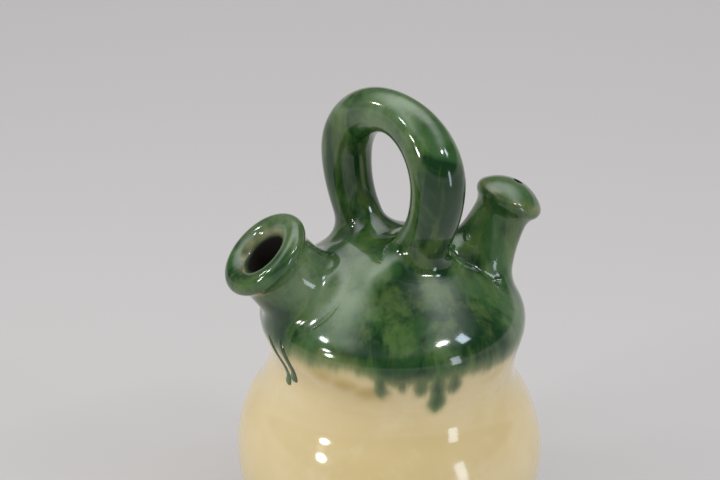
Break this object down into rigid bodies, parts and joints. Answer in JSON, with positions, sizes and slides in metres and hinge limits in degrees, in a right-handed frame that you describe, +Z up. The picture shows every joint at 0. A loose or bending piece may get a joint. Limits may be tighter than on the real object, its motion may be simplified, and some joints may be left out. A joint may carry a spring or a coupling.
{
  "type": "botijo",
  "caption": "Ceramic water jug with a globe-shaped belly, a narrow waist, a domed upper bulge, a ring handle on top, a flared filling mouth and a slim drinking spout.",
  "frame": {"origin": "middle of the flat foot's underside, on the throwing axis", "axes": "+Z up the throwing axis, the drinking spout towards +X, the filling mouth towards -X"},
  "size_m": [0.1501, 0.145, 0.2477],
  "materials": {
    "cream_glaze": "glossy",
    "green_glaze": "glossy, mottled"
  },
  "bodies": {
    "root": {"lower_body": "cream_glaze", "upper_body": "green_glaze", "waist_coil": "cream_glaze", "filling_mouth": "green_glaze", "mouth_coil": "green_glaze", "drinking_spout": "green_glaze", "spout_coil": "green_glaze", "handle": "green_glaze", "handle_front_coil": "green_glaze", "handle_back_coil": "green_glaze", "glaze_runs": "green_glaze"}
  },
  "joints": []
}
